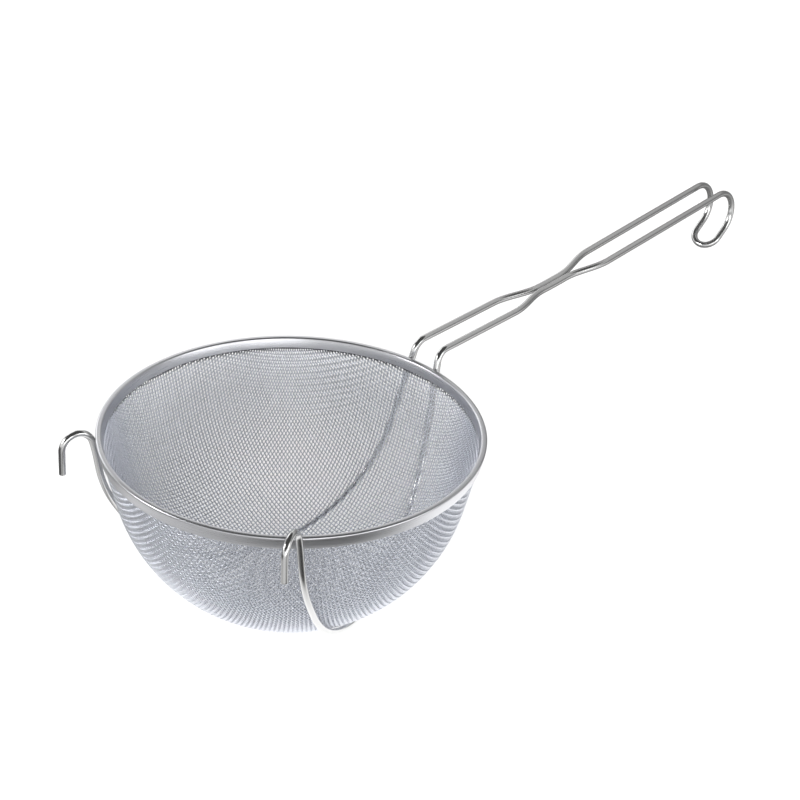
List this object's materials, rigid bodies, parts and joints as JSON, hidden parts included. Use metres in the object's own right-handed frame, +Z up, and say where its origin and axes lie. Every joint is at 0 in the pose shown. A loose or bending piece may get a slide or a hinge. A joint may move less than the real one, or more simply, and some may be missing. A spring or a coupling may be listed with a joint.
{
  "type": "wire strainer",
  "caption": "Round-bottomed strainer of woven wire cloth in a folded rim band, with a bent wire frame that makes two pinched handle legs, a curled hanging loop and pot hooks.",
  "frame": {"origin": "on the bowl's axis, in the plane of the rim band's top edge", "axes": "+X along the handle, away from the bowl; +Y to the left hook's side; +Z up out of the bowl's mouth"},
  "size_m": [0.5157, 0.2198, 0.1344],
  "materials": {
    "woven_steel": "bright drawn wire",
    "band_steel": "satin",
    "frame_steel": "polished"
  },
  "bodies": {
    "root": {"mesh_bowl": "woven_steel", "rim_band": "band_steel", "left_support_wire": "frame_steel", "right_support_wire": "frame_steel", "left_pot_hook": "frame_steel", "right_pot_hook": "frame_steel", "left_handle_leg": "frame_steel", "right_handle_leg": "frame_steel", "hanging_loop": "frame_steel"}
  },
  "joints": []
}
